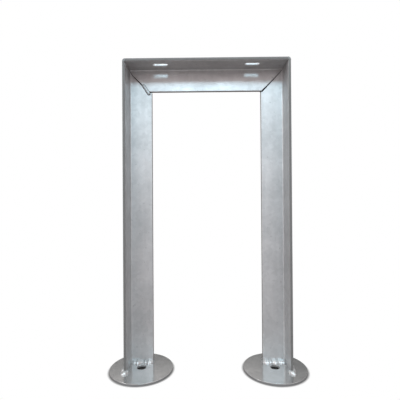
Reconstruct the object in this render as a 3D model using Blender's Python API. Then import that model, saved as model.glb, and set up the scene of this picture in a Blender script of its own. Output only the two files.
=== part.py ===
"""Portal stand welded from equal steel angle, on two round base discs.

Units are metres, +Z is up, and the open side of the angles faces -Y. The origin lies on the floor,
midway between the feet, on the line through the two foot holes.
"""
import math

import bmesh
import bpy
from mathutils import Matrix, Vector

# Driving dimensions
WIDTH = 0.320                # over the outer faces of the two legs
HEIGHT = 0.600               # floor to the top face of the rail
FLANGE = 0.050               # outside length of each flange of the angle
WALL = 0.005                 # thickness of the flanges
ROOT_RADIUS = 0.0055         # fillet in the inside corner of the angle
TOE_RADIUS = 0.0018          # rounded inner edge at the end of each flange
GAUGE = 0.028                # heel of the angle to the line of the holes
CORNER_RADIUS = 0.006        # outer corner between leg and rail, ground round
DISC_DIAMETER = 0.122
DISC_THICKNESS = 0.004
DISC_CENTRE_X = 0.130
FOOT_HOLE_DIAMETER = 0.018
SLOT_LENGTH = 0.030
SLOT_WIDTH = 0.010
SLOT_SPACING = 0.180         # between the centres of the two slots
FILLET_LEG = 0.006           # leg length of the fillet welds at the feet
TIP_WELD_WIDTH = 0.009
SEAM_WELD_WIDTH = 0.007      # bead over the mitre seam, on the back
SEAM_WELD_HEIGHT = 0.0014
GAP = 0.0003                 # clearance kept between pieces that touch

# Worked out from them
HALF_WIDTH = WIDTH / 2
BACK_Y = GAUGE               # back face of every back flange
FRONT_Y = GAUGE - FLANGE     # front edge of every forward flange
LEG_FOOT_Z = DISC_THICKNESS + GAP
CUTTER_SIZE = 0.150

ANGLE_COLOUR = (0.66, 0.68, 0.70)
DISC_COLOUR = (0.60, 0.62, 0.63)
WELD_COLOUR = (0.74, 0.75, 0.76)


def clear_scene():
    for obj in list(bpy.data.objects):
        bpy.data.objects.remove(obj, do_unlink=True)


def new_collection(name):
    collection = bpy.data.collections.new(name)
    bpy.context.scene.collection.children.link(collection)
    return collection


def galvanised(name, colour, roughness):
    """A zinc-coated steel, as one Principled BSDF."""
    material = bpy.data.materials.new(name)
    material.use_nodes = True
    shader = material.node_tree.nodes["Principled BSDF"]
    shader.inputs["Base Color"].default_value = (*colour, 1.0)
    shader.inputs["Metallic"].default_value = 0.85
    shader.inputs["Roughness"].default_value = roughness
    return material


def axes_rotation(x_axis, y_axis):
    """Rotation that lays local X and Y along two world directions, and Z along their cross product."""
    x_axis = Vector(x_axis)
    y_axis = Vector(y_axis)
    return Matrix((x_axis, y_axis, x_axis.cross(y_axis))).transposed().to_euler()


def arc(centre, radius, start_deg, end_deg, steps):
    """Points along an arc, both ends included."""
    points = []
    for step in range(steps + 1):
        angle = math.radians(start_deg + (end_deg - start_deg) * step / steps)
        points.append((centre[0] + radius * math.cos(angle), centre[1] + radius * math.sin(angle)))
    return points


def extruded_mesh(name, outline, depth):
    """A closed mesh: a flat outline in local XY, run along local Z from 0 to depth."""
    curve = bpy.data.curves.new(name, "CURVE")
    curve.dimensions = "2D"
    curve.fill_mode = "BOTH"
    curve.extrude = depth / 2
    spline = curve.splines.new("POLY")
    spline.points.add(len(outline) - 1)
    for point, (x, y) in zip(spline.points, outline):
        point.co = (x, y, 0.0, 1.0)
    spline.use_cyclic_u = True
    source = bpy.data.objects.new(name + "_outline", curve)
    bpy.context.scene.collection.objects.link(source)
    evaluated = source.evaluated_get(bpy.context.evaluated_depsgraph_get())
    mesh = bpy.data.meshes.new_from_object(evaluated)
    bpy.data.objects.remove(source, do_unlink=True)
    welded = bmesh.new()
    welded.from_mesh(mesh)
    bmesh.ops.remove_doubles(welded, verts=welded.verts, dist=1e-6)
    bmesh.ops.translate(welded, verts=welded.verts, vec=(0.0, 0.0, depth / 2))
    bmesh.ops.recalc_face_normals(welded, faces=welded.faces)
    welded.to_mesh(mesh)
    welded.free()
    return mesh


def shade_smooth(mesh, sharp_deg=30.0):
    mesh.shade_smooth()
    mesh.set_sharp_from_angle(angle=math.radians(sharp_deg))


def add_part(name, mesh, location, rotation, material, collection):
    """Put a finished mesh in the scene as one named sub-part."""
    shade_smooth(mesh)
    mesh.name = name
    mesh.materials.clear()
    mesh.materials.append(material)
    obj = bpy.data.objects.new(name, mesh)
    obj.location = location
    obj.rotation_euler = rotation
    collection.objects.link(obj)
    return obj


def add_cutter(name, mesh, location, rotation, collection):
    obj = bpy.data.objects.new(name, mesh)
    obj.location = location
    obj.rotation_euler = rotation
    obj.hide_render = True
    obj.display_type = "WIRE"
    collection.objects.link(obj)
    return obj


def cut(obj, cutter):
    boolean = obj.modifiers.new(cutter.name, "BOOLEAN")
    boolean.operation = "DIFFERENCE"
    boolean.solver = "EXACT"
    boolean.object = cutter


def plane_cutter(name, point, normal, collection):
    """A large cube with one face through the point, that removes all on the side the normal shows."""
    normal = Vector(normal).normalized()
    mesh = bpy.data.meshes.new(name)
    cube = bmesh.new()
    bmesh.ops.create_cube(cube, size=CUTTER_SIZE)
    cube.to_mesh(mesh)
    cube.free()
    centre = Vector(point) + normal * CUTTER_SIZE / 2
    return add_cutter(name, mesh, centre, normal.to_track_quat("Z", "Y").to_euler(), collection)


def cylinder_mesh(name, diameter, depth, segments):
    """A closed upright cylinder, from local Z 0 to depth."""
    mesh = bpy.data.meshes.new(name)
    cylinder = bmesh.new()
    bmesh.ops.create_cone(
        cylinder,
        cap_ends=True,
        segments=segments,
        radius1=diameter / 2,
        radius2=diameter / 2,
        depth=depth,
        matrix=Matrix.Translation((0.0, 0.0, depth / 2)),
    )
    cylinder.to_mesh(mesh)
    cylinder.free()
    return mesh


def angle_outline():
    """Section of the equal angle: heel at the origin, flanges along +X and -Y."""
    toe = FLANGE - TOE_RADIUS
    inner_toe = WALL - TOE_RADIUS
    root = WALL + ROOT_RADIUS
    outline = [(0.0, 0.0), (FLANGE, 0.0)]
    outline += arc((toe, -inner_toe), TOE_RADIUS, 0, -90, 4)
    outline += arc((root, -root), ROOT_RADIUS, 90, 180, 8)
    outline += arc((inner_toe, -toe), TOE_RADIUS, 0, -90, 4)
    outline += [(0.0, -FLANGE)]
    return outline


def slot_outline():
    """A slot with round ends, along local X."""
    reach = (SLOT_LENGTH - SLOT_WIDTH) / 2
    radius = SLOT_WIDTH / 2
    return arc((reach, 0.0), radius, -90, 90, 12) + arc((-reach, 0.0), radius, 90, 270, 12)


def corner_weld_outline():
    """The ground corner: a segment between a quarter circle and its chord."""
    return arc((CORNER_RADIUS, CORNER_RADIUS), CORNER_RADIUS, 180, 270, 8)


def fillet_outline():
    """A convex fillet in the corner of local +X and +Y."""
    sink = FILLET_LEG * 0.6
    radius = math.hypot(FILLET_LEG + sink, sink)
    swing = math.degrees(math.atan2(sink, FILLET_LEG + sink))
    return [(0.0, 0.0)] + arc((-sink, -sink), radius, swing, 90 - swing, 6)


def seam_weld_outline():
    """A low bead on a flat face: a circular segment on local X, standing up along local Y."""
    half = SEAM_WELD_WIDTH / 2
    radius = (half ** 2 + SEAM_WELD_HEIGHT ** 2) / (2 * SEAM_WELD_HEIGHT)
    swing = math.degrees(math.asin(half / radius))
    return arc((0.0, SEAM_WELD_HEIGHT - radius), radius, 90 + swing, 90 - swing, 8)


def tip_weld_mesh(name):
    """A quarter of a flattened ball, that fills the corner of local -Y and +Z."""
    mesh = bpy.data.meshes.new(name)
    ball = bmesh.new()
    bmesh.ops.create_uvsphere(ball, u_segments=24, v_segments=12, radius=1.0)
    half_size = (TIP_WELD_WIDTH / 2, FILLET_LEG, FILLET_LEG)
    bmesh.ops.scale(ball, vec=half_size, verts=ball.verts)
    for normal in ((0, 1, 0), (0, 0, -1)):
        sliced = bmesh.ops.bisect_plane(
            ball,
            geom=ball.verts[:] + ball.edges[:] + ball.faces[:],
            plane_co=(0.0, 0.0, 0.0),
            plane_no=normal,
            clear_outer=True,
        )
        rim = [item for item in sliced["geom_cut"] if isinstance(item, bmesh.types.BMEdge)]
        bmesh.ops.edgeloop_fill(ball, edges=rim)
    bmesh.ops.recalc_face_normals(ball, faces=ball.faces)
    ball.to_mesh(mesh)
    ball.free()
    return mesh


def mitre_cutters(side_name, side, cutters):
    """Cutters for one top corner: leg's end, rail's end, and the bevel under the corner weld."""
    corner = Vector((side * HALF_WIDTH, 0.0, HEIGHT))
    inward = Vector((-side, 0.0, -1.0)).normalized()
    over_the_leg = Vector((-side, 0.0, 1.0)).normalized()
    middle = corner + inward * FLANGE
    bevel_point = corner + inward * (CORNER_RADIUS / math.sqrt(2) + GAP)
    leg_end = plane_cutter(side_name + "_leg_end", middle - over_the_leg * GAP / 2, over_the_leg, cutters)
    rail_end = plane_cutter(side_name + "_rail_end", middle + over_the_leg * GAP / 2, -over_the_leg, cutters)
    bevel = plane_cutter(side_name + "_corner_bevel", bevel_point, -inward, cutters)
    return leg_end, rail_end, bevel


def build_leg(side_name, side, leg_end, bevel, parts):
    """One upright. The same section, turned a quarter, makes the other hand."""
    name = side_name + "_leg"
    mesh = extruded_mesh(name, angle_outline(), HEIGHT - LEG_FOOT_Z)
    turn = 0.0 if side < 0 else -math.pi / 2
    leg = add_part(
        name,
        mesh,
        (side * HALF_WIDTH, BACK_Y, LEG_FOOT_Z),
        (0.0, 0.0, turn),
        galvanised(name, ANGLE_COLOUR, 0.45),
        parts,
    )
    cut(leg, leg_end)
    cut(leg, bevel)


def build_rail(end_cutters, parts, cutters):
    """The top rail, heel at the top of the back, with its two slots."""
    mesh = extruded_mesh("top_rail", angle_outline(), WIDTH)
    rail = add_part(
        "top_rail",
        mesh,
        (-HALF_WIDTH, BACK_Y, HEIGHT),
        (0.0, math.pi / 2, 0.0),
        galvanised("top_rail", ANGLE_COLOUR, 0.45),
        parts,
    )
    for cutter in end_cutters:
        cut(rail, cutter)
    for side_name, side in (("left", -1), ("right", 1)):
        name = side_name + "_slot"
        tool_mesh = extruded_mesh(name, slot_outline(), WALL * 3)
        place = (side * SLOT_SPACING / 2, 0.0, HEIGHT - WALL * 2)
        cut(rail, add_cutter(name, tool_mesh, place, (0.0, 0.0, 0.0), cutters))


def build_disc(side_name, side, parts, cutters):
    """Round base plate with one bolt hole at its centre."""
    name = side_name + "_base_disc"
    mesh = cylinder_mesh(name, DISC_DIAMETER, DISC_THICKNESS, 96)
    place = (side * DISC_CENTRE_X, 0.0, 0.0)
    disc = add_part(name, mesh, place, (0.0, 0.0, 0.0), galvanised(name, DISC_COLOUR, 0.5), parts)
    hole_mesh = cylinder_mesh(side_name + "_foot_hole", FOOT_HOLE_DIAMETER, DISC_THICKNESS * 3, 48)
    hole_place = (side * DISC_CENTRE_X, 0.0, -DISC_THICKNESS)
    cut(disc, add_cutter(side_name + "_foot_hole", hole_mesh, hole_place, (0.0, 0.0, 0.0), cutters))


def build_weld(name, outline, length, start, x_axis, y_axis, parts):
    """A straight bead of one section, from its start along the cross product of its two axes."""
    mesh = extruded_mesh(name, outline, length)
    add_part(name, mesh, start, axes_rotation(x_axis, y_axis), galvanised(name, WELD_COLOUR, 0.4), parts)


def build_top_welds(side_name, side, parts):
    """The ground corner bead, and the bead over the mitre seam on the back."""
    inward_x = (-side, 0, 0)
    corner_y = FRONT_Y if side < 0 else BACK_Y
    corner_start = (side * HALF_WIDTH, corner_y, HEIGHT)
    build_weld(
        side_name + "_corner_weld", corner_weld_outline(), FLANGE, corner_start, inward_x, (0, 0, -1), parts
    )
    diagonal = Vector((-side, 0.0, -1.0)).normalized()
    first = CORNER_RADIUS * 2
    length = FLANGE * math.sqrt(2) - first - ROOT_RADIUS
    start = Vector((side * HALF_WIDTH, BACK_Y + GAP, HEIGHT)) + diagonal * first
    outward = Vector((0.0, 1.0, 0.0))
    across = outward.cross(diagonal)
    build_weld(side_name + "_mitre_weld", seam_weld_outline(), length, start, across, outward, parts)


def build_foot_welds(side_name, side, parts):
    """Three fillets and a round tip that hold the leg on its disc."""
    up = (0, 0, 1)
    floor_z = LEG_FOOT_Z
    outer_x = side * HALF_WIDTH
    toe_x = side * (HALF_WIDTH - FLANGE)
    root_x = side * (HALF_WIDTH - WALL - ROOT_RADIUS - GAP)
    inner_start = (max(toe_x, root_x), BACK_Y - WALL - GAP, floor_z)
    build_weld(
        side_name + "_foot_inner_weld", fillet_outline(), abs(toe_x - root_x), inner_start, (0, -1, 0), up, parts
    )
    rear_start = (min(outer_x, toe_x), BACK_Y + GAP, floor_z)
    build_weld(side_name + "_foot_rear_weld", fillet_outline(), FLANGE, rear_start, (0, 1, 0), up, parts)
    outer_start = (outer_x + side * GAP, FRONT_Y if side < 0 else BACK_Y, floor_z)
    build_weld(side_name + "_foot_outer_weld", fillet_outline(), FLANGE, outer_start, (side, 0, 0), up, parts)
    name = side_name + "_foot_tip_weld"
    tip_place = (side * (HALF_WIDTH - WALL / 2), FRONT_Y - GAP, floor_z)
    add_part(name, tip_weld_mesh(name), tip_place, (0, 0, 0), galvanised(name, WELD_COLOUR, 0.4), parts)


def main():
    clear_scene()
    parts = new_collection("portal_stand")
    cutters = new_collection("cutters")
    rail_cutters = []
    for side_name, side in (("left", -1), ("right", 1)):
        leg_end, rail_end, bevel = mitre_cutters(side_name, side, cutters)
        rail_cutters += [rail_end, bevel]
        build_leg(side_name, side, leg_end, bevel, parts)
        build_disc(side_name, side, parts, cutters)
        build_top_welds(side_name, side, parts)
        build_foot_welds(side_name, side, parts)
    build_rail(rail_cutters, parts, cutters)


main()
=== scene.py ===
# %% [markdown]
# # A galvanised portal stand, from bare angle steel to a finished picture
#
# The stand is welded from five pieces of steel: a top rail and two legs cut from equal angle, and two round
# base discs. It is then dipped in molten zinc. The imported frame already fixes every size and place. This
# lesson makes what the frame leaves plain: crisp rolled sections with soft edges, real weld beads, and the
# mottled skin that hot zinc leaves on steel.

# %% Load the frame
import math
import random

import bmesh
import bpy
from mathutils import Matrix, Vector


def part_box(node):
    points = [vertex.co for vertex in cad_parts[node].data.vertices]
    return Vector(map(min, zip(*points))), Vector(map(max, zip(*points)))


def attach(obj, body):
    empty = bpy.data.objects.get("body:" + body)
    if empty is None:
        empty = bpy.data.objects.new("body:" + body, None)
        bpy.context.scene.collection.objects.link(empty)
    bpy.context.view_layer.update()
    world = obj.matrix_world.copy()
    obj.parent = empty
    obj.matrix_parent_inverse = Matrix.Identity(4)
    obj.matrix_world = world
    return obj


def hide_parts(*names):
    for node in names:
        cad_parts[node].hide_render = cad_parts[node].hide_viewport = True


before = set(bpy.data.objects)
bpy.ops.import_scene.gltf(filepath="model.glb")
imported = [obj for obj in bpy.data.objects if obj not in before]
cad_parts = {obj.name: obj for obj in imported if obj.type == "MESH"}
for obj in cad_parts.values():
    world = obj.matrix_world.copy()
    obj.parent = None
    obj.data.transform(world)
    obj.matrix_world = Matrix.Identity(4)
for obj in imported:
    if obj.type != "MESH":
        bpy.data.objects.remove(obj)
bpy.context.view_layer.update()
print("frame nodes:", len(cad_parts))

# %% [markdown]
# ## Sizes
#
# All sizes are in metres. What the frame can tell is read from it, so the lesson follows the frame if it
# changes. The rest are the makings of the rolled section, which a bounding box doesn't show: the wall, the
# fillet in the root of the angle, and the soft inner edge at each toe.

# %% Sizes read from the frame, and the rolled section
rail_low, rail_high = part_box("top_rail")
left_leg_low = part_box("left_leg")[0]
disc_low, disc_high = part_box("right_base_disc")

HEIGHT = rail_high.z
FLANGE = rail_high.z - rail_low.z
HALF_WIDTH = -left_leg_low.x
BACK_Y = rail_high.y
FRONT_Y = rail_low.y
DISC_TOP = disc_high.z
DISC_RADIUS = (disc_high.x - disc_low.x) / 2
DISC_CENTRE_X = (disc_high.x + disc_low.x) / 2

WALL = 0.005
ROOT_RADIUS = 0.0030
TOE_RADIUS = 0.0018
INNER_Y = BACK_Y - WALL
SIDES = (("left", -1), ("right", 1))
print("stand:", round(2 * HALF_WIDTH, 3), "wide,", round(HEIGHT, 3), "high")

# %% [markdown]
# ## The camera
#
# The stand is seen from close by, a little above its middle, so the feet show their tops and the rail shows
# its underside. A longer lens from further off would flatten both. A short lens at this distance gives the
# strong convergence of a hand-held close view, and the tiny yaw, pitch and roll are those of a steady hand.

# %% Camera
CAMERA_PLACE = (-0.0072, -0.6528, 0.3264)
LENS_MM = 30.04
SENSOR_MM = 36.0
YAW_DEG = 0.586
PITCH_DEG = 0.323
ROLL_DEG = 0.370


def turn_about(axis, degrees):
    return Matrix.Rotation(math.radians(degrees), 4, axis)


def add_camera():
    """A camera that looks along y, with its three small turns."""
    data = bpy.data.cameras.new("camera")
    data.sensor_width = SENSOR_MM
    data.lens = LENS_MM
    camera = bpy.data.objects.new("camera", data)
    bpy.context.scene.collection.objects.link(camera)
    place = Matrix.Translation(CAMERA_PLACE)
    yaw = turn_about("Z", YAW_DEG)
    pitch = turn_about("X", PITCH_DEG)
    roll = turn_about("Y", ROLL_DEG)
    level = turn_about("X", 90.0)
    camera.matrix_world = place @ yaw @ pitch @ roll @ level
    bpy.context.scene.camera = camera
    return camera


camera = add_camera()
print("camera at", [round(value, 3) for value in camera.location])

# %% [markdown]
# ## Small helpers for shader nodes
#
# Shader nodes can be placed by hand, one at a time. The floor, the sky and the zinc all need the same three
# moves: add a node, do one sum, and stretch one range of values onto another. Each move gets a helper.

# %% Node helpers
def new_node(tree, kind, **settings):
    node = tree.nodes.new(kind)
    for key, value in settings.items():
        setattr(node, key, value)
    return node


def math_node(tree, operation, first, second):
    """One sum. Each term is a number or another node's output."""
    node = new_node(tree, "ShaderNodeMath", operation=operation)
    for place, value in enumerate((first, second)):
        if isinstance(value, (int, float)):
            node.inputs[place].default_value = value
        else:
            tree.links.new(value, node.inputs[place])
    return node.outputs["Value"]


def ranged(tree, value, low, high, to_low=0.0, to_high=1.0):
    """Stretch low to high onto to_low to to_high, and hold the ends."""
    node = new_node(tree, "ShaderNodeMapRange")
    node.inputs["From Min"].default_value = low
    node.inputs["From Max"].default_value = high
    node.inputs["To Min"].default_value = to_low
    node.inputs["To Max"].default_value = to_high
    tree.links.new(value, node.inputs["Value"])
    return node.outputs["Result"]


print("node helpers ready")

# %% [markdown]
# ## The floor
#
# The stand is shown on a plain white ground. A white diffuse floor would need a lot of light to come out
# white, and would then flood the steel from below. So the floor has two faces: the eye meets an even white,
# and the steel mirrors a duller, warmer grey. Shade is painted into that white: a contact shadow where
# something nearly touches it, and a dark patch under the middle of each disc, because a bolt hole looks down
# into a dark gap.

# %% Floor
FLOOR_RADIUS = 6.0
FLOOR_WHITE = 1.0
FLOOR_IN_STEEL = (0.43, 0.38, 0.37, 1.0)
CONTACT_REACH = 0.005
CONTACT_DEPTH = 2.5
# Painted shade: the floor's white drops to this under the middle of each disc, seen through its bolt hole.
UNDER_PLATE_SHADE = 0.04
UNDER_PLATE_RADIUS = DISC_RADIUS * 0.5
OPEN_FLOOR_RADIUS = DISC_RADIUS * 0.6


def deselect_objects():
    bpy.ops.object.select_all(action="DESELECT")


def floor_shade(tree):
    """How white the floor looks: 1 in the open, with a painted contact shadow and painted shade under the
    middle of a disc.
    """
    contact = new_node(tree, "ShaderNodeAmbientOcclusion")
    contact.inputs["Distance"].default_value = CONTACT_REACH
    # Painted contact shadow: ambient occlusion darkens the white near the steel.
    contact_shadow = math_node(tree, "POWER", contact.outputs["AO"], CONTACT_DEPTH)
    coords = new_node(tree, "ShaderNodeTexCoord")
    mirrored = new_node(tree, "ShaderNodeVectorMath", operation="ABSOLUTE")
    tree.links.new(coords.outputs["Object"], mirrored.inputs[0])
    away = new_node(tree, "ShaderNodeVectorMath", operation="DISTANCE")
    away.inputs[1].default_value = (DISC_CENTRE_X, 0.0, 0.0)
    tree.links.new(mirrored.outputs["Vector"], away.inputs[0])
    plate_shade = ranged(tree, away.outputs["Value"], UNDER_PLATE_RADIUS, OPEN_FLOOR_RADIUS, UNDER_PLATE_SHADE)
    return math_node(tree, "MULTIPLY", contact_shadow, plate_shade)


def add_floor():
    """A wide plain floor: white to the eye, dull in reflections."""
    deselect_objects()
    bpy.ops.mesh.primitive_circle_add(
        vertices=64, radius=FLOOR_RADIUS, fill_type="NGON", location=(0.0, 0.0, 0.0)
    )
    floor = bpy.context.object
    floor.name = "floor"
    material = bpy.data.materials.new("pale_floor")
    material.use_nodes = True
    tree = material.node_tree
    tree.nodes.remove(tree.nodes["Principled BSDF"])
    seen = new_node(tree, "ShaderNodeEmission")
    seen.inputs["Strength"].default_value = FLOOR_WHITE
    tree.links.new(floor_shade(tree), seen.inputs["Color"])
    dull = new_node(tree, "ShaderNodeBsdfDiffuse")
    dull.inputs["Color"].default_value = FLOOR_IN_STEEL
    path = new_node(tree, "ShaderNodeLightPath")
    mix = new_node(tree, "ShaderNodeMixShader")
    tree.links.new(path.outputs["Is Camera Ray"], mix.inputs["Fac"])
    tree.links.new(dull.outputs["BSDF"], mix.inputs[1])
    tree.links.new(seen.outputs["Emission"], mix.inputs[2])
    tree.links.new(mix.outputs["Shader"], tree.nodes["Material Output"].inputs["Surface"])
    floor.data.materials.append(material)
    return floor


floor = add_floor()
print("floor:", floor.name)

# %% [markdown]
# ## The sky
#
# Bare metal shows its surroundings more than itself, so the surroundings are the main light. A room could be
# modelled for the steel to mirror, but two gradients do the same work. The front one is brightest a little
# above the horizon, so the faces of the legs start bright at the top and darken downwards. The rear one is
# dark up to 25 degrees and then steps up, and the discs mirror it on either side of the legs. It is dimmer on
# the right. White has to come out white here, so the picture uses the plain Standard view.

# %% Sky
COOL = (0.70, 1.0, 1.15)
NEUTRAL = (1.0, 1.0, 1.0)
WARM = (1.05, 1.0, 0.97)
ROSY = (1.09, 0.98, 0.99)
FRONT_SKY = (
    (-5, ROSY, 0.66),
    (3, ROSY, 0.92),
    (10, ROSY, 1.12),
    (18, ROSY, 1.28),
    (30, NEUTRAL, 1.10),
    (70, NEUTRAL, 0.85),
)
REAR_SKY = (
    (-5, WARM, 0.10),
    (25.0, WARM, 0.10),
    (26.2, WARM, 0.51),
    (45, NEUTRAL, 0.75),
    (80, NEUTRAL, 0.85),
)
FRONT_ENDS = -0.5
REAR_STARTS = 0.4
DIM_STARTS = 0.15
DIM_FULL = 0.24
DIM_RIGHT = 0.62


def sky_ramp(tree, height, bands):
    """A colour ramp from the ground up: each band is an elevation in degrees, a tint and a strength."""
    ramp = new_node(tree, "ShaderNodeValToRGB")
    stops = ramp.color_ramp.elements
    while len(stops) < len(bands):
        stops.new(0.5)
    for stop, (elevation, colour, strength) in zip(stops, bands):
        stop.position = (math.sin(math.radians(elevation)) + 1) / 2
        stop.color = (*[part * strength for part in colour], 1.0)
    tree.links.new(height, ramp.inputs["Fac"])
    return ramp.outputs["Color"]


def sky_colour(tree):
    """The front gradient, turning into the rear one from front to back."""
    coords = new_node(tree, "ShaderNodeTexCoord")
    split = new_node(tree, "ShaderNodeSeparateXYZ")
    tree.links.new(coords.outputs["Generated"], split.inputs["Vector"])
    height = ranged(tree, split.outputs["Z"], -1.0, 1.0)
    front = sky_ramp(tree, height, FRONT_SKY)
    rear = sky_ramp(tree, height, REAR_SKY)
    dimmed = new_node(tree, "ShaderNodeVectorMath", operation="SCALE")
    tree.links.new(rear, dimmed.inputs[0])
    dimming = ranged(tree, split.outputs["X"], DIM_STARTS, DIM_FULL, 1.0, DIM_RIGHT)
    tree.links.new(dimming, dimmed.inputs["Scale"])
    whole = new_node(tree, "ShaderNodeMix", data_type="RGBA")
    tree.links.new(ranged(tree, split.outputs["Y"], FRONT_ENDS, REAR_STARTS), whole.inputs["Factor"])
    tree.links.new(front, whole.inputs["A"])
    tree.links.new(dimmed.outputs["Vector"], whole.inputs["B"])
    return whole.outputs["Result"]


def add_world():
    """Plain white for the eye, and the sky for everything the steel reflects."""
    world = bpy.data.worlds.new("studio")
    bpy.context.scene.world = world
    world.use_nodes = True
    tree = world.node_tree
    tree.nodes.clear()
    seen = new_node(tree, "ShaderNodeBackground")
    seen.inputs["Color"].default_value = (1.0, 1.0, 1.0, 1.0)
    sky = new_node(tree, "ShaderNodeBackground")
    tree.links.new(sky_colour(tree), sky.inputs["Color"])
    path = new_node(tree, "ShaderNodeLightPath")
    mix = new_node(tree, "ShaderNodeMixShader")
    tree.links.new(path.outputs["Is Camera Ray"], mix.inputs["Fac"])
    tree.links.new(sky.outputs["Background"], mix.inputs[1])
    tree.links.new(seen.outputs["Background"], mix.inputs[2])
    output = new_node(tree, "ShaderNodeOutputWorld")
    tree.links.new(mix.outputs["Shader"], output.inputs["Surface"])


add_world()
bpy.context.scene.view_settings.view_transform = "Standard"
print("sky bands:", len(FRONT_SKY) + len(REAR_SKY))

# %% [markdown]
# ## The lamps
#
# A sky alone gives no crisp light. The key lamp stands high in front. It shines through the two slots, which
# puts two light patches on the back flange and lights the far wall of each slot, and the top flange throws a
# long soft-edged shadow under itself. A large lamp would blur all that, so the key is small. The top, back
# and side lamps are large and weak, and only lift the faces that turn away from the key.

# %% Lamps
# Each row: name, place, what it points at, width and height, watts, colour.
LAMPS = (
    ("key_lamp", (0.0, -1.25, 1.42), (0.0, 0.0, 0.55), (0.18, 0.29), 13.0, COOL),
    ("top_lamp", (0.0, 0.35, 1.60), (0.0, 0.0, 0.3), (0.8, 0.5), 4.0, NEUTRAL),
    ("back_lamp", (0.50, 0.90, 2.00), (0.0, 0.0, 0.3), (0.8, 0.8), 4.0, NEUTRAL),
    ("side_lamp", (-1.30, -0.50, 1.30), (0.15, 0.0, 0.45), (0.6, 0.6), 7.0, NEUTRAL),
)


def add_lamp(name, place, target, size, power, colour):
    data = bpy.data.lights.new(name, "AREA")
    data.shape = "RECTANGLE"
    data.size = size[0]
    data.size_y = size[1]
    data.energy = power
    data.color = colour
    lamp = bpy.data.objects.new(name, data)
    bpy.context.scene.collection.objects.link(lamp)
    lamp.location = place
    aim = Vector(target) - Vector(place)
    lamp.rotation_euler = aim.to_track_quat("-Z", "Y").to_euler()


for lamp_row in LAMPS:
    add_lamp(*lamp_row)
print("lamps:", len(LAMPS))

# %% [markdown]
# ## The zinc skin
#
# Hot-dip zinc freezes in crystals. Seen close, each crystal, or spangle, has its own tone and gloss. Over
# that lie cloudy patches, long run marks from when the hot piece was lifted out, a fine grain, and a few dark
# specks of ash. A painted texture could show all this, but it would need unwrapping and would repeat. One
# node group makes it from the piece's own coordinates instead, and each material sets its tones and gloss.

# %% Patterns in the zinc
WARP_SCALE = 90.0
WARP_REACH = 0.006
SPANGLE_SCALE = 170.0
CLOUD_SCALE = 22.0
RUN_SCALE = 70.0
GRAIN_SCALE = 1400.0
ASH_SCALE = 55.0
ASH_CORE = 0.055
ASH_RIM = 0.085


def noise_node(tree, vector, scale, detail):
    node = new_node(tree, "ShaderNodeTexNoise")
    node.inputs["Scale"].default_value = scale
    node.inputs["Detail"].default_value = detail
    tree.links.new(vector, node.inputs["Vector"])
    return node.outputs["Fac"]


def cells_node(tree, vector, scale):
    node = new_node(tree, "ShaderNodeTexVoronoi")
    node.inputs["Scale"].default_value = scale
    tree.links.new(vector, node.inputs["Vector"])
    return node


def warped_vector(tree, vector):
    """The same place, pushed about a little, so that crystals get ragged borders."""
    warp = new_node(tree, "ShaderNodeTexNoise")
    warp.inputs["Scale"].default_value = WARP_SCALE
    tree.links.new(vector, warp.inputs["Vector"])
    shift = new_node(tree, "ShaderNodeVectorMath", operation="SCALE")
    shift.inputs["Scale"].default_value = WARP_REACH
    tree.links.new(warp.outputs["Color"], shift.inputs[0])
    warped = new_node(tree, "ShaderNodeVectorMath", operation="ADD")
    tree.links.new(vector, warped.inputs[0])
    tree.links.new(shift.outputs["Vector"], warped.inputs[1])
    return warped.outputs["Vector"]


def zinc_patterns(tree, vector, run_vector):
    """Every pattern by name, each from 0 to 1. The three crystal values differ from crystal to crystal."""
    warped = warped_vector(tree, vector)
    split = new_node(tree, "ShaderNodeSeparateColor")
    tree.links.new(cells_node(tree, warped, SPANGLE_SCALE).outputs["Color"], split.inputs["Color"])
    ash_cells = cells_node(tree, warped, ASH_SCALE)
    return {
        "crystal_tone": split.outputs["Red"],
        "crystal_gloss": split.outputs["Green"],
        "crystal_height": split.outputs["Blue"],
        "cloud": noise_node(tree, vector, CLOUD_SCALE, 4.0),
        "runs": noise_node(tree, run_vector, RUN_SCALE, 3.0),
        "grain": noise_node(tree, vector, GRAIN_SCALE, 2.0),
        "ash": ranged(tree, ash_cells.outputs["Distance"], ASH_CORE, ASH_RIM, 1.0, 0.0),
    }


print("patterns ready")

# %% What the patterns do to tone, gloss and relief
def rough_shaded_edge(tree, edge, cloud):
    """The edge mask with a ragged inner border: edges turn rougher, and their colour is painted darker as
    shade.
    """
    ragged = math_node(tree, "ADD", edge, ranged(tree, cloud, 0.3, 0.7, -0.2, 0.2))
    return ranged(tree, math_node(tree, "MULTIPLY", ragged, edge), 0.1, 0.7)


def zinc_tone(tree, marks):
    """From 0, dull, to 1, bright."""
    tone = math_node(tree, "MULTIPLY", marks["crystal_tone"], 0.26)
    tone = math_node(tree, "ADD", tone, ranged(tree, marks["cloud"], 0.3, 0.7, 0.0, 0.40))
    tone = math_node(tree, "ADD", tone, ranged(tree, marks["runs"], 0.35, 0.65, 0.0, 0.24))
    tone = math_node(tree, "ADD", tone, ranged(tree, marks["grain"], 0.3, 0.7, 0.0, 0.10))
    return math_node(tree, "SUBTRACT", tone, math_node(tree, "MULTIPLY", marks["ash"], 0.8))


def zinc_roughness(tree, marks, edge, base):
    rough = math_node(tree, "MULTIPLY", marks["crystal_gloss"], 0.07)
    rough = math_node(tree, "ADD", rough, ranged(tree, marks["cloud"], 0.3, 0.7, 0.05, -0.03))
    rough = math_node(tree, "ADD", rough, math_node(tree, "MULTIPLY", edge, 0.30))
    return math_node(tree, "ADD", rough, base)


def zinc_height(tree, marks):
    height = math_node(tree, "MULTIPLY", marks["crystal_height"], 0.20)
    height = math_node(tree, "ADD", height, math_node(tree, "MULTIPLY", marks["grain"], 0.15))
    return math_node(tree, "ADD", height, math_node(tree, "MULTIPLY", marks["runs"], 0.8))


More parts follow.
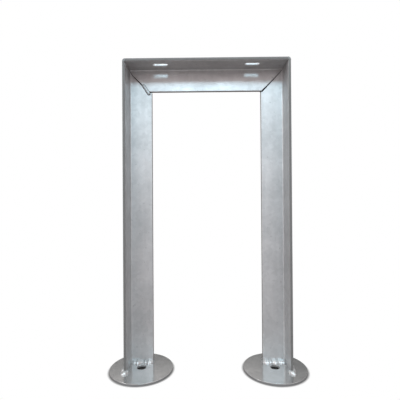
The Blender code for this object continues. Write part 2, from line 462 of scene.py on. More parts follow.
def colour_mix(tree, factor, first, second):
    mix = new_node(tree, "ShaderNodeMix", data_type="RGBA")
    tree.links.new(factor, mix.inputs["Factor"])
    tree.links.new(first, mix.inputs["A"])
    tree.links.new(second, mix.inputs["B"])
    return mix.outputs["Result"]


print("tone, gloss and relief ready")

# %% The zinc skin group
ZINC_INPUTS = (
    ("Vector", "NodeSocketVector", None),
    ("Run Vector", "NodeSocketVector", None),
    ("Dull Colour", "NodeSocketColor", (0.40, 0.41, 0.42, 1.0)),
    ("Bright Colour", "NodeSocketColor", (0.66, 0.68, 0.70, 1.0)),
    ("Roughness", "NodeSocketFloat", 0.22),
    ("Edge", "NodeSocketFloat", 0.0),
    # The colour painted along edges as shade.
    ("Worn Colour", "NodeSocketColor", (0.19, 0.185, 0.18, 1.0)),
    ("Shine", "NodeSocketFloat", 0.85),
)
ZINC_OUTPUTS = (
    ("Colour", "NodeSocketColor"),
    ("Roughness", "NodeSocketFloat"),
    ("Metallic", "NodeSocketFloat"),
    ("Height", "NodeSocketFloat"),
)


def make_zinc_group():
    group = bpy.data.node_groups.new("zinc_skin", "ShaderNodeTree")
    for name, kind, default in ZINC_INPUTS:
        socket = group.interface.new_socket(name=name, in_out="INPUT", socket_type=kind)
        if default is not None:
            socket.default_value = default
    for name, kind in ZINC_OUTPUTS:
        group.interface.new_socket(name=name, in_out="OUTPUT", socket_type=kind)
    given = new_node(group, "NodeGroupInput").outputs
    result = new_node(group, "NodeGroupOutput").inputs

    marks = zinc_patterns(group, given["Vector"], given["Run Vector"])
    edge = rough_shaded_edge(group, given["Edge"], marks["cloud"])
    sound = colour_mix(group, zinc_tone(group, marks), given["Dull Colour"], given["Bright Colour"])
    shine = math_node(group, "MULTIPLY", ranged(group, edge, 0.0, 1.0, 1.0, 0.5), given["Shine"])
    rough = zinc_roughness(group, marks, edge, given["Roughness"])
    # Near the edges the colour is painted darker, as shade.
    group.links.new(colour_mix(group, edge, sound, given["Worn Colour"]), result["Colour"])
    group.links.new(rough, result["Roughness"])
    group.links.new(shine, result["Metallic"])
    group.links.new(zinc_height(group, marks), result["Height"])
    return group


zinc_group = make_zinc_group()
print("zinc group sockets:", len(zinc_group.interface.items_tree))

# %% [markdown]
# ## The finishes
#
# All the steel had the same bath, but not the same life. Legs and rail are dull, with long runs that follow
# the bar, and their edges are rougher and painted darker as shade. The discs lay flat and came out smooth,
# with their sheared rim painted dark as shade. Weld metal stays brighter, and a narrow band of painted shade
# sits where a bead meets a gap. The painted edge shade lies along straight edges here, so a mask by distance
# from a few planes is enough, and it works on any mesh.

# %% Distance to the edges
EDGE_BAND = 0.0010
EDGE_CORE = EDGE_BAND * 0.4


def edge_mask(tree, vector, planes):
    """One beyond the given planes, fading to nothing inside them. Each is an axis, a place and a side."""
    split = new_node(tree, "ShaderNodeSeparateXYZ")
    tree.links.new(vector, split.inputs["Vector"])
    nearest = None
    for axis, place, side in planes:
        value = split.outputs[axis]
        if axis == "X":
            value = math_node(tree, "ABSOLUTE", value, 0.0)
        away = math_node(tree, "MULTIPLY", math_node(tree, "SUBTRACT", value, place), side)
        nearest = away if nearest is None else math_node(tree, "MINIMUM", nearest, away)
    return ranged(tree, nearest, EDGE_CORE, EDGE_BAND, 1.0, 0.0)


print("edge mask ready")

# %% One zinc material
RELIEF = 0.0002


def zinc_material(name, run_stretch, dull, bright, roughness, bump, planes=(), **others):
    """Zinc with its own run direction, tones and gloss. Others are more inputs of the skin group, by name."""
    material = bpy.data.materials.new(name)
    material.use_nodes = True
    tree = material.node_tree
    shader = tree.nodes["Principled BSDF"]
    coords = new_node(tree, "ShaderNodeTexCoord")
    runs = new_node(tree, "ShaderNodeMapping")
    runs.inputs["Scale"].default_value = run_stretch
    skin = new_node(tree, "ShaderNodeGroup", node_tree=zinc_group)
    skin.inputs["Dull Colour"].default_value = (*dull, 1.0)
    skin.inputs["Bright Colour"].default_value = (*bright, 1.0)
    skin.inputs["Roughness"].default_value = roughness
    for socket, value in others.items():
        skin.inputs[socket.replace("_", " ").title()].default_value = value
    if planes:
        tree.links.new(edge_mask(tree, coords.outputs["Object"], planes), skin.inputs["Edge"])
    relief = new_node(tree, "ShaderNodeBump")
    relief.inputs["Strength"].default_value = bump
    relief.inputs["Distance"].default_value = RELIEF
    tree.links.new(coords.outputs["Object"], skin.inputs["Vector"])
    tree.links.new(coords.outputs["Object"], runs.inputs["Vector"])
    tree.links.new(runs.outputs["Vector"], skin.inputs["Run Vector"])
    tree.links.new(skin.outputs["Colour"], shader.inputs["Base Color"])
    tree.links.new(skin.outputs["Roughness"], shader.inputs["Roughness"])
    tree.links.new(skin.outputs["Metallic"], shader.inputs["Metallic"])
    tree.links.new(skin.outputs["Height"], relief.inputs["Height"])
    tree.links.new(relief.outputs["Normal"], shader.inputs["Normal"])
    return material


print("material maker ready")

# %% Tones, runs, and edges painted dark as shade
DULL = (0.42, 0.42, 0.42)
BRIGHT = (0.62, 0.62, 0.62)
RAIL_DULL = (0.40, 0.40, 0.40)
RAIL_BRIGHT = (0.57, 0.57, 0.57)
DISC_DULL = (0.46, 0.455, 0.45)
DISC_BRIGHT = (0.64, 0.635, 0.63)
WELD_DULL = (0.48, 0.48, 0.48)
WELD_BRIGHT = (0.72, 0.72, 0.72)
# Painted shade, near black, for the mitre bead deep in its gap and the front bead's borders.
GAP_SHADE = (0.03, 0.03, 0.03, 1.0)
# Painted shade on the disc rim.
RIM_SHADE_GREY = (0.24, 0.24, 0.24, 1.0)

RUNS_ALONG_X = (0.06, 1.0, 1.0)
RUNS_ALONG_Y = (1.0, 0.06, 1.0)
RUNS_ALONG_Z = (1.0, 1.0, 0.06)
WIDE_RUNS = (0.5, 0.5, 0.5)
NO_RUNS = (1.0, 1.0, 1.0)

RIM_DEPTH = 0.0012
# How far the painted shade reaches into the gap and along the front bead's borders.
SEAM_SHADE_DEPTH = 0.0012
TACK_SHADE_DEPTH = 0.0008
FRONT_EDGE = ("Y", FRONT_Y, 1)
LEG_EDGES = (FRONT_EDGE, ("X", HALF_WIDTH - FLANGE, 1))
RAIL_EDGES = (FRONT_EDGE, ("Z", HEIGHT - FLANGE, 1))
DISC_RIM = (("Z", DISC_TOP - RIM_DEPTH, 1),)
SEAM_ROOT = (("Y", BACK_Y - SEAM_SHADE_DEPTH, 1),)
TACK_ROOT = (("Y", INNER_Y - TACK_SHADE_DEPTH, -1),)
print("edge planes:", len(LEG_EDGES + RAIL_EDGES + DISC_RIM + SEAM_ROOT + TACK_ROOT))

# %% Zinc materials
# Each edge band below has its colour painted darker as shade: edges of legs, rail and corner, the disc rim,
# the mitre bead in its gap, and the front bead's borders.
leg_zinc = zinc_material("leg_zinc", RUNS_ALONG_Z, DULL, BRIGHT, 0.50, 0.25, LEG_EDGES)
rail_zinc = zinc_material(
    "rail_zinc", RUNS_ALONG_X, RAIL_DULL, RAIL_BRIGHT, 0.44, 0.25, RAIL_EDGES, shine=0.74
)
disc_zinc = zinc_material(
    "disc_zinc", WIDE_RUNS, DISC_DULL, DISC_BRIGHT, 0.11, 0.25, DISC_RIM, shine=0.80, worn_colour=RIM_SHADE_GREY
)
weld_zinc = zinc_material("weld_zinc", NO_RUNS, WELD_DULL, WELD_BRIGHT, 0.36, 0.3)
seam_zinc = zinc_material("seam_zinc", NO_RUNS, DULL, WELD_BRIGHT, 0.24, 0.3, SEAM_ROOT, worn_colour=GAP_SHADE)
tack_zinc = zinc_material("tack_zinc", NO_RUNS, DULL, DULL, 0.50, 0.3, TACK_ROOT, worn_colour=GAP_SHADE)
corner_zinc = zinc_material("corner_zinc", RUNS_ALONG_Y, DULL, BRIGHT, 0.24, 0.3, (FRONT_EDGE,))
finishes = (leg_zinc, rail_zinc, disc_zinc, weld_zinc, seam_zinc, tack_zinc, corner_zinc)
print("materials:", [finish.name for finish in finishes])

# %% [markdown]
# ## Modelling by hand, in code
#
# Every piece starts as a primitive at its size and place, and is then cut, extruded and bevelled in edit
# mode, as one would with the mouse. Lists of points and faces would be shorter to run but hard to follow and
# to change. The helpers below do the clicking: they select faces or edges by where they are, and leave
# everything else alone.

# %% Selecting and editing
SNAP = 1e-5


def select_only(piece):
    deselect_objects()
    bpy.context.view_layer.objects.active = piece
    piece.select_set(True)


def start_box(name, low, high):
    """A box between two corners, with its place in its mesh."""
    deselect_objects()
    low = Vector(low)
    high = Vector(high)
    bpy.ops.mesh.primitive_cube_add(size=1.0, location=(low + high) / 2, scale=high - low)
    box = bpy.context.object
    box.name = name
    box.data.name = name
    bpy.ops.object.transform_apply(location=True, rotation=True, scale=True)
    return box


def edit(piece):
    select_only(piece)
    bpy.ops.object.mode_set(mode="EDIT")


def leave():
    bpy.ops.object.mode_set(mode="OBJECT")


def pick(piece, kind, test):
    """Select only the faces or edges that pass the test."""
    bpy.ops.mesh.select_all(action="DESELECT")
    bpy.ops.mesh.select_mode(type="FACE" if kind == "faces" else "EDGE")
    mesh = bmesh.from_edit_mesh(piece.data)
    for item in getattr(mesh, kind):
        if test(item):
            item.select_set(True)
    mesh.select_flush_mode()
    bmesh.update_edit_mesh(piece.data)


print("selection helpers ready")

# %% Cutting and finishing
ON_THE_PLANE = 1e-7
SAME_POINT = 1e-6
SOFT_DEG = 35.0


def bisect(point, normal):
    """Cut away all beyond the plane, and close the cut. Only points truly on the plane snap to it."""
    bpy.ops.mesh.select_all(action="SELECT")
    bpy.ops.mesh.bisect(
        plane_co=point, plane_no=normal, use_fill=True, clear_outer=True, threshold=ON_THE_PLANE
    )


def apply_modifier(piece, kind, **settings):
    modifier = piece.modifiers.new(kind.lower(), kind)
    for key, value in settings.items():
        setattr(modifier, key, value)
    select_only(piece)
    bpy.ops.object.modifier_apply(modifier=modifier.name)


def finish_mesh(piece):
    """Merge points that fell together, smooth the soft edges, and keep each flat face truly flat."""
    edit(piece)
    bpy.ops.mesh.select_all(action="SELECT")
    bpy.ops.mesh.remove_doubles(threshold=SAME_POINT)
    leave()
    bpy.ops.object.shade_smooth_by_angle(angle=math.radians(SOFT_DEG))
    apply_modifier(piece, "WEIGHTED_NORMAL", keep_sharp=True)


def hand_over(piece, material, slot, *nodes):
    """Give the piece its finish, and let it stand for its frame nodes."""
    piece.data.materials.clear()
    piece.data.materials.append(material)
    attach(piece, "root")
    if nodes:
        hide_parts(*nodes)


print("modelling helpers ready")

# %% [markdown]
# ## The rolled angle
#
# Angle steel comes from the rolling mill with square outer edges, a fillet in the root and rounded inner
# toes. The section could be drawn as a curve and extruded, but it is only two flat flanges: a box makes the
# back one, a cut marks a strip at its heel, and the strip's front face is pulled forward to make the second.
# Bevels on the root and on the toes then give the rolled shape.

# %% Angle bar
def angle_bar(name, low, high, heel):
    """An equal angle. heel points from the toe of the back flange to its heel."""
    heel = Vector(heel)
    bar = start_box(name, low, high)
    heel_reach = max(Vector(low).dot(heel), Vector(high).dot(heel))
    inner_reach = heel_reach - WALL
    toe_reach = heel_reach - FLANGE
    edit(bar)
    bpy.ops.mesh.select_all(action="SELECT")
    bpy.ops.mesh.bisect(plane_co=heel * inner_reach, plane_no=heel)
    pick(bar, "faces", lambda f: f.normal.y < -0.9 and f.calc_center_median().dot(heel) > inner_reach)
    bpy.ops.mesh.extrude_region_move(TRANSFORM_OT_translate={"value": (0.0, -(FLANGE - WALL), 0.0)})

    def runs_at(edge, reach, y):
        return all(abs(v.co.dot(heel) - reach) < SNAP and abs(v.co.y - y) < SNAP for v in edge.verts)

    pick(bar, "edges", lambda e: runs_at(e, inner_reach, INNER_Y))
    bpy.ops.mesh.bevel(offset=ROOT_RADIUS, segments=8, affect="EDGES")
    pick(bar, "edges", lambda e: runs_at(e, toe_reach, INNER_Y) or runs_at(e, inner_reach, FRONT_Y))
    bpy.ops.mesh.bevel(offset=TOE_RADIUS, segments=4, affect="EDGES")
    leave()
    return bar


print("angle bar ready")

# %% [markdown]
# ## The mitres
#
# Leg and rail are sawn at the corner and butt with a gap that tapers: about 3 mm wide at the inner corner and
# closed at the outer one. Saw cuts are never quite alike. Both seams start level at the inner corner, for
# 6 mm on the left and 3 mm on the right, and then climb to the outer corner. One 45 degree plane would be
# simpler, but it would give two equal, ruled lines, so each seam is three short planes. The outer corner is
# cut flat, to make room for the ground weld.

# %% Mitre planes
SEAM_GAPS = (0.0032, 0.0032, 0.0012, 0.0002)
SEAM_RUN = {
    "left": ((0.0, 0.0), (0.0060, 0.0), (0.0395, 0.0337), (FLANGE, FLANGE)),
    "right": ((0.0, 0.0), (0.0030, 0.0), (0.0360, 0.0340), (FLANGE, FLANGE)),
}
CORNER_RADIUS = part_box("left_corner_weld")[1].x + HALF_WIDTH


def seam_points(side_name, side):
    """The corners of the seam, from the inner corner out, in the plane of the stand."""
    inner = Vector((side * (HALF_WIDTH - FLANGE), 0.0, HEIGHT - FLANGE))
    return [inner + Vector((side * along, 0.0, up)) for along, up in SEAM_RUN[side_name]]


def across(start, end, side):
    """The unit direction across a stretch of the seam, towards the rail."""
    run = (end - start).normalized()
    return Vector((-side * run.z, 0.0, side * run.x))


def seam_planes(side_name, side, share):
    """A point and a normal towards the rail for each stretch, at this share of the gap from its middle."""
    points = seam_points(side_name, side)
    planes = []
    for start, end, start_gap, end_gap in zip(points, points[1:], SEAM_GAPS, SEAM_GAPS[1:]):
        to_rail = across(start, end, side)
        low = start + to_rail * start_gap * share
        high = end + to_rail * end_gap * share
        planes.append((low, across(low, high, side)))
    return planes


def corner_plane(side):
    """The flat under the ground corner bead: a point and the outward normal."""
    outward = Vector((side, 0.0, 1.0)).normalized()
    corner = Vector((side * HALF_WIDTH, 0.0, HEIGHT))
    return corner - outward * CORNER_RADIUS / math.sqrt(2), outward


print("corner radius", round(CORNER_RADIUS, 4))

# %% [markdown]
# ## The legs
#
# Each leg is an angle with one flange at the back and one at the outer side. Its top is a bent line, hollow
# in the middle, and plane cuts alone can't make a hollow. So a block is cut to the shape of the rail's side
# of the seam, and a boolean takes it out of the leg. The sharp edges are then rounded by half a millimetre,
# which is what makes them catch the light.

# %% Legs
EDGE_ROUND = 0.0005
SHARP = math.radians(40)
TO_LEG = -0.5
TO_RAIL = 0.5
BLOCK_SPARE = 0.05
BLOCK_REACH = 0.1


def rail_side_block(side_name, side):
    """A block that fills the rail's side of the seam, to cut the leg with."""
    inner = seam_points(side_name, side)[0]
    low = (min(inner.x, 0.0) - BLOCK_REACH, -BLOCK_REACH, inner.z - BLOCK_SPARE)
    high = (max(inner.x, 0.0) + BLOCK_REACH, BLOCK_REACH, HEIGHT + BLOCK_SPARE)
    block = start_box("seam_block", low, high)
    edit(block)
    for point, normal in seam_planes(side_name, side, TO_LEG):
        bisect(point, -normal)
    leave()
    return block


def cut_out(piece, cutter):
    """Take the cutter's shape out of the piece, and the cutter out of the scene."""
    apply_modifier(piece, "BOOLEAN", object=cutter, operation="DIFFERENCE", solver="EXACT")
    bpy.data.objects.remove(cutter, do_unlink=True)


def round_edges(piece, width, segments):
    apply_modifier(piece, "BEVEL", width=width, segments=segments, limit_method="ANGLE", angle_limit=SHARP)


def make_leg(side_name, side):
    heel_x = side * HALF_WIDTH
    toe_x = side * (HALF_WIDTH - FLANGE)
    low = (min(heel_x, toe_x), INNER_Y, DISC_TOP)
    high = (max(heel_x, toe_x), BACK_Y, HEIGHT)
    leg = angle_bar(side_name + "_leg_steel", low, high, (side, 0.0, 0.0))
    edit(leg)
    bisect(*corner_plane(side))
    leave()
    cut_out(leg, rail_side_block(side_name, side))
    round_edges(leg, EDGE_ROUND, 2)
    finish_mesh(leg)
    hand_over(leg, leg_zinc, "angle_steel", side_name + "_leg")
    return leg


legs = [make_leg(side_name, side) for side_name, side in SIDES]
print("legs:", [len(leg.data.polygons) for leg in legs], "faces")

# %% [markdown]
# ## The rail and its slots
#
# The rail is the same angle lying down, with one flange on top. Its ends bulge at the seam, so plane cuts are
# enough here. The level first stretch is left out: its plane would run along the whole lower edge. Each slot
# is punched by a round bar that is pulled apart into a long one, so its ends stay true half circles. Punching
# and zinc leave its rim well rounded, and the light that falls through shows that.

# %% Slot tools
SLOT_LENGTH = 0.030
SLOT_WIDTH = 0.010
SLOT_X = 0.090
SLOT_RIM = 0.0018


def slot_cutter(side):
    """A round bar, with one half pulled away from the other along the rail."""
    deselect_objects()
    reach = (SLOT_LENGTH - SLOT_WIDTH) / 2
    place = (side * SLOT_X, 0.0, HEIGHT - WALL / 2)
    bpy.ops.mesh.primitive_cylinder_add(vertices=48, radius=SLOT_WIDTH / 2, depth=WALL * 4, location=place)
    cutter = bpy.context.object
    bpy.ops.object.transform_apply(location=True, rotation=True, scale=True)
    edit(cutter)
    bpy.ops.mesh.select_all(action="SELECT")
    bpy.ops.mesh.bisect(plane_co=place, plane_no=(1.0, 0.0, 0.0))
    for direction in (-1, 1):
        pick(cutter, "faces", lambda f: (f.calc_center_median().x - place[0]) * direction > 0)
        bpy.ops.mesh.extrude_region_move(TRANSFORM_OT_translate={"value": (direction * reach, 0.0, 0.0)})
    leave()
    return cutter


def is_slot_rim(edge):
    """An edge round either end of a slot: level, near a slot, and between the wall of the slot and a flat."""
    if abs(edge.verts[0].co.z - edge.verts[1].co.z) > SNAP or len(edge.link_faces) != 2:
        return False
    middle = (edge.verts[0].co + edge.verts[1].co) / 2
    near = abs(abs(middle.x) - SLOT_X) < SLOT_LENGTH / 2 + SNAP and abs(middle.y) < SLOT_WIDTH / 2 + SNAP
    flats = sum(abs(face.normal.z) > 0.9 for face in edge.link_faces)
    return near and middle.z > HEIGHT - WALL - SNAP and flats == 1


print("slot:", SLOT_LENGTH, "by", SLOT_WIDTH)

# %% Rail
def make_rail():
    low = (-HALF_WIDTH, INNER_Y, HEIGHT - FLANGE)
    high = (HALF_WIDTH, BACK_Y, HEIGHT)
    rail = angle_bar("top_rail_steel", low, high, (0.0, 0.0, 1.0))
    edit(rail)
    for side_name, side in SIDES:
        for point, normal in seam_planes(side_name, side, TO_RAIL)[1:]:
            bisect(point, -normal)
        bisect(*corner_plane(side))
    leave()
    for side_name, side in SIDES:
        cut_out(rail, slot_cutter(side))
    edit(rail)
    pick(rail, "edges", is_slot_rim)
    bpy.ops.mesh.bevel(offset=SLOT_RIM, segments=4, affect="EDGES")
    leave()
    round_edges(rail, EDGE_ROUND, 2)
    finish_mesh(rail)
    hand_over(rail, rail_zinc, "angle_steel", "top_rail")
    return rail


rail = make_rail()
print("rail:", len(rail.data.polygons), "faces")

# %% [markdown]
# ## The base discs
#
# Each foot is a round plate with one bolt hole in its middle. A boolean could drill the hole, but it would
# leave two huge faces with a hole in each. Insetting both round faces down to the hole's size and bridging
# the two small circles drills it with clean quads. The rim is hardly rounded: a thin sheared plate shows a
# crisp line.

# %% Base discs
HOLE_RADIUS = 0.009
DISC_ROUND = 0.0004


def make_disc(side_name, side):
    deselect_objects()
    place = (side * DISC_CENTRE_X, 0.0, DISC_TOP / 2)
    bpy.ops.mesh.primitive_cylinder_add(vertices=144, radius=DISC_RADIUS, depth=DISC_TOP, location=place)
    disc = bpy.context.object
    disc.name = side_name + "_disc_steel"
    bpy.ops.object.transform_apply(location=True, rotation=True, scale=True)
    edit(disc)
    pick(disc, "faces", lambda f: abs(f.normal.z) > 0.9)
    bpy.ops.mesh.inset(thickness=DISC_RADIUS - HOLE_RADIUS)
    bpy.ops.mesh.bridge_edge_loops()
    leave()
    round_edges(disc, DISC_ROUND, 3)
    finish_mesh(disc)
    hand_over(disc, disc_zinc, "base_plate", side_name + "_base_disc")
    return disc


discs = [make_disc(side_name, side) for side_name, side in SIDES]
print("discs:", [len(disc.data.polygons) for disc in discs], "faces")

# %% [markdown]
# ## Weld metal
#
# A bead is a row of molten drops that froze into each other, so it is made that way: one ball is modelled,
# copied along the seam with a slightly different size each time, and melted into one skin by a voxel remesh.
# What lies inside the steel is then cut away. A swept profile would be quicker, but it has no ripples.

# %% Drops of weld metal
VOXEL = 0.00035


def make_ball():
    """The one drop that every bead copies."""
    deselect_objects()
    bpy.ops.mesh.primitive_ico_sphere_add(subdivisions=3, radius=1.0, location=(0.0, 0.0, 0.0))
    ball = bpy.context.object
    ball.name = "weld_drop"
    return ball


def add_drop(place, reach, turn=0.0):
    """A squashed copy of the drop. reach is its half size along x, y and z before it turns about y."""
    drop = ball.copy()
    drop.data = ball.data.copy()
    bpy.context.scene.collection.objects.link(drop)
    drop.location = place
    drop.scale = reach
    drop.rotation_euler = (0.0, turn, 0.0)
    return drop


def melt(name, drops, soften=2):
    """Join the drops, melt them into one skin and soften it."""
    deselect_objects()
    for drop in drops:
        drop.select_set(True)
    bpy.context.view_layer.objects.active = drops[0]
    bpy.ops.object.join()
    bead = bpy.context.object
    bead.name = name
    bead.data.name = name
    bpy.ops.object.transform_apply(location=True, rotation=True, scale=True)
    apply_modifier(bead, "REMESH", mode="VOXEL", voxel_size=VOXEL)
    apply_modifier(bead, "SMOOTH", factor=0.5, iterations=soften)
    return bead


ball = make_ball()
print("drop:", len(ball.data.polygons), "faces")

# %% Laying a bead
SMALLEST_DROP = 0.90
LARGEST_DROP = 1.08
STRAY = 0.0003
ONE_HUMP = ((-1.0, 2.0),)


def hump(fraction, humps, thin):
    """How full the bead is at this fraction of its run: full in the middle of a hump, thin between humps."""
    for start, end in humps:
        if start <= fraction <= end:
            return thin + (1.0 - thin) * math.sqrt(math.sin(math.pi * (fraction - start) / (end - start)))
    return thin


def point_along(path, distance):
    """The point at this distance along a path of points."""
    for start, end in zip(path, path[1:]):
        length = (end - start).length
        if distance <= length or end is path[-1]:
            return start.lerp(end, min(1.0, distance / length))
        distance -= length


def lay_bead(name, path, reach, step, seed, turn=0.0, humps=ONE_HUMP, thin=0.6, soften=2):
    """Drops along a path of points, each a little different in size and place."""
    draw = random.Random(seed)
    total = sum((end - start).length for start, end in zip(path, path[1:]))
    count = max(2, round(total / step))
    drops = []
    for index in range(count + 1):
        fraction = index / count
        full = hump(fraction, humps, thin) * draw.uniform(SMALLEST_DROP, LARGEST_DROP)
        stray = Vector([draw.uniform(-STRAY, STRAY) for _ in range(3)])
        place = point_along(path, fraction * total) + stray
        drops.append(add_drop(place, [part * full for part in reach], turn))
    return melt(name, drops, soften)


print("voxel:", VOXEL)

# %% Trimming a bead
TUCK = 0.0002
BEAD_SOFT_DEG = 60.0
ON_DISC = (Vector((0.0, 0.0, DISC_TOP - TUCK)), Vector((0.0, 0.0, -1.0)))
ON_INNER_FACE = (Vector((0.0, INNER_Y + TUCK, 0.0)), Vector((0.0, 1.0, 0.0)))
ON_REAR_FACE = (Vector((0.0, BACK_Y - TUCK, 0.0)), Vector((0.0, -1.0, 0.0)))


def trim(bead, *cuts):
    """Cut away what lies beyond each plane, a hair inside the steel it sits on."""
    edit(bead)
    for point, outward in cuts:
        bisect(point, outward)
    leave()
    bpy.ops.object.shade_smooth_by_angle(angle=math.radians(BEAD_SOFT_DEG))


def beyond_x(x, direction):
    """The cut that removes what lies beyond x, left or right of it."""
    return (Vector((x, 0.0, 0.0)), Vector((direction, 0.0, 0.0)))


print("bead tools ready")

# %% [markdown]
# ## The foot welds
#
# Each leg is held to its disc by four welds. The one inside the angle shows most: two fat tacks on the left
# foot, one uneven run on the right. Zinc has filled its ripples, so it is softened more than the others. One
# run closes the rear and another the outer side, and a round lump of four drops sits at the front toe. All
# four come from the same drop, because four ways of modelling would give four kinds of metal.

# %% Sizes of the foot welds
# A reach is half a drop's size along x, y and z. Ends say how far a run stops short of the steel's corners.
INNER_HUMPS = {
    "left": ((-0.02, 0.50), (0.64, 1.04)),
    "right": ((-0.04, 0.33), (0.27, 0.66), (0.58, 1.05)),
}
INNER_THIN = 0.42
INNER_SOFTEN = 16
INNER_REACH = (0.0062, 0.0120, 0.0066)
INNER_STEP = 0.0030
INNER_ENDS = (0.002, 0.003)
REAR_REACH = (0.0036, 0.0062, 0.0062)
REAR_ENDS = (0.001, 0.002)
OUTER_REACH = (0.0062, 0.0036, 0.0062)
OUTER_ENDS = (0.003, 0.001)
RUN_STEP = 0.0024
TIP_DROPS = (
    ((0.0, -0.0020), (0.0054, 0.0062, 0.0052)),
    ((0.0022, -0.0050), (0.0042, 0.0048, 0.0034)),
    ((-0.0034, 0.0005), (0.0040, 0.0052, 0.0044)),
    ((0.0034, 0.0012), (0.0034, 0.0050, 0.0046)),
)
print("drops in a tip:", len(TIP_DROPS))

# %% Foot welds
def on_disc(x, y):
    return Vector((x, y, DISC_TOP))


def make_inner_bead(side_name, side, seed):
    root_x = side * HALF_WIDTH - side * WALL
    toe_x = side * (HALF_WIDTH - FLANGE)
    start = on_disc(root_x - side * INNER_ENDS[0], INNER_Y)
    end = on_disc(toe_x + side * INNER_ENDS[1], INNER_Y)
    bead = lay_bead(
        side_name + "_foot_inner_bead",
        [start, end],
        INNER_REACH,
        INNER_STEP,
        seed,
        humps=INNER_HUMPS[side_name],
        thin=INNER_THIN,
        soften=INNER_SOFTEN,
    )
    trim(bead, ON_DISC, ON_INNER_FACE, beyond_x(root_x + side * TUCK, side))
    return bead


def make_rear_bead(side_name, side, seed):
    heel_x = side * HALF_WIDTH
    toe_x = side * (HALF_WIDTH - FLANGE)
    start = on_disc(heel_x - side * REAR_ENDS[0], BACK_Y)
    end = on_disc(toe_x + side * REAR_ENDS[1], BACK_Y)
    bead = lay_bead(side_name + "_foot_rear_bead", [start, end], REAR_REACH, RUN_STEP, seed)
    trim(bead, ON_DISC, ON_REAR_FACE)
    return bead


def make_outer_bead(side_name, side, seed):
    heel_x = side * HALF_WIDTH
    start = on_disc(heel_x, FRONT_Y + OUTER_ENDS[0])
    end = on_disc(heel_x, BACK_Y - OUTER_ENDS[1])
    bead = lay_bead(side_name + "_foot_outer_bead", [start, end], OUTER_REACH, RUN_STEP, seed)
    trim(bead, ON_DISC, beyond_x(heel_x - side * TUCK, -side))
    return bead


def make_tip_bead(side_name, side):
    middle = on_disc(side * HALF_WIDTH - side * WALL / 2, FRONT_Y)
    drops = [add_drop(middle + Vector((side * out, back, 0.0)), reach) for (out, back), reach in TIP_DROPS]
    bead = melt(side_name + "_foot_tip_bead", drops)
    trim(bead, ON_DISC)
    return bead


def make_foot_welds(side_name, side, seed):
    beads = {
        "inner": make_inner_bead(side_name, side, seed),
        "rear": make_rear_bead(side_name, side, seed + 1),
        "outer": make_outer_bead(side_name, side, seed + 2),
        "tip": make_tip_bead(side_name, side),
    }
    for place, bead in beads.items():
        hand_over(bead, weld_zinc, "weld", side_name + "_foot_" + place + "_weld")
    return list(beads.values())


foot_welds = []
for number, (side_name, side) in enumerate(SIDES):
    foot_welds += make_foot_welds(side_name, side, 10 * number)
print("foot welds:", {bead.name: len(bead.data.polygons) for bead in foot_welds})

# %% [markdown]
# ## The corner welds
#
# The outer corner is welded over and ground round, which leaves a smooth bright band and no ripples. So it
# isn't made of drops: it is a bar with a large bevel, a hair proud of the steel, cut off where it would show
# inside the angle.

# %% Ground corner
PROUD = 0.0002
CORNER_HOLD_BACK = 0.0004
CORNER_ROUND = 0.0003


def make_corner(side_name, side):
    reach = CORNER_RADIUS + PROUD
    corner_x = side * (HALF_WIDTH + PROUD)
    low = (min(corner_x, corner_x - side * reach), FRONT_Y - PROUD, HEIGHT - CORNER_RADIUS)
    high = (max(corner_x, corner_x - side * reach), BACK_Y + PROUD, HEIGHT + PROUD)
    corner = start_box(side_name + "_corner_bead", low, high)
    outward = Vector((side, 0.0, 1.0)).normalized()
    inner_x = side * (HALF_WIDTH - WALL + CORNER_HOLD_BACK)
    inner_z = HEIGHT - WALL + CORNER_HOLD_BACK

    def is_outer_edge(edge):
        return all(abs(v.co.x - corner_x) < SNAP and abs(v.co.z - HEIGHT - PROUD) < SNAP for v in edge.verts)

    edit(corner)
    bisect(Vector((inner_x, 0.0, inner_z)), -outward)
    pick(corner, "edges", is_outer_edge)
    bpy.ops.mesh.bevel(offset=CORNER_RADIUS - CORNER_HOLD_BACK, segments=8, affect="EDGES")
    leave()
    round_edges(corner, CORNER_ROUND, 2)
    finish_mesh(corner)
    hand_over(corner, corner_zinc, "weld", side_name + "_corner_weld")
    return corner


corners = [make_corner(side_name, side) for side_name, side in SIDES]
print("corners:", [len(corner.data.polygons) for corner in corners], "faces")

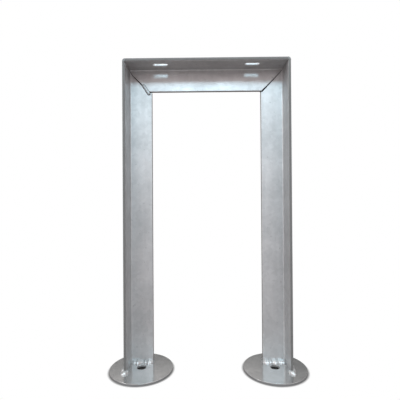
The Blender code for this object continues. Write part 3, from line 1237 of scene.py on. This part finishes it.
# %% [markdown]
# ## The mitre beads
#
# The mitre is welded from behind. From the front only its root shows, deep in the gap, where its colour is
# painted dark as shade; from the back it is a rippled run. Its end is ground flush with the corner. The left
# seam also has a short bead in front, over its lower end: it starts 12 mm above the rail's lower edge and
# ends 3 mm below it, and its borders on the flange are painted dark as shade. Both are rows of drops, turned
# to lie along the seam.

# %% Mitre beads
MITRE_REACH = (0.0028, 0.0021, 0.0037)
MITRE_STEP = 0.0021
MITRE_SINK = 0.0004
MITRE_START = 0.6
MITRE_STOP = 0.0035
SEAM_DEPTH = 0.0022
TACK_REACH = (0.0038, 0.0024, 0.0036)
TACK_STEP = 0.0022
TACK_START = (-0.0165, INNER_Y, 0.0120)
TACK_END = (-0.0070, INNER_Y, -0.0030)


def slope(run):
    """The turn about y that lays a drop along a run."""
    return math.atan2(-run.z, run.x)


def make_mitre_bead(side_name, side, seed):
    """The rippled run on the back, and its root that closes the gap from behind."""
    path = [Vector((p.x, BACK_Y - MITRE_SINK, p.z)) for p in seam_points(side_name, side)]
    run = (path[-1] - path[1]).normalized()
    path[0] = path[0].lerp(path[1], MITRE_START)
    path[-1] = path[-1] - run * MITRE_STOP
    bead = lay_bead(side_name + "_mitre_bead", path, MITRE_REACH, MITRE_STEP, seed, slope(run))
    front_end = (Vector((0.0, BACK_Y - SEAM_DEPTH, 0.0)), Vector((0.0, -1.0, 0.0)))
    flush_top = (Vector((0.0, 0.0, HEIGHT + PROUD)), Vector((0.0, 0.0, 1.0)))
    trim(bead, front_end, beyond_x(side * (HALF_WIDTH + PROUD), side), flush_top)
    hand_over(bead, seam_zinc, "weld", side_name + "_mitre_weld")
    return bead


def make_front_bead():
    """A short bead over the lower end of the left seam, in front."""
    inner = seam_points("left", -1)[0]
    path = [inner + Vector(TACK_START), inner + Vector(TACK_END)]
    run = (path[1] - path[0]).normalized()
    bead = lay_bead("left_front_bead", path, TACK_REACH, TACK_STEP, 77, slope(run))
    trim(bead, ON_INNER_FACE)
    hand_over(bead, tack_zinc, "weld")
    return bead


mitre_beads = []
for number, (side_name, side) in enumerate(SIDES):
    mitre_beads.append(make_mitre_bead(side_name, side, 50 + number))
front_bead = make_front_bead()
bpy.data.objects.remove(ball, do_unlink=True)
print("mitre beads:", [len(bead.data.polygons) for bead in (*mitre_beads, front_bead)], "faces")
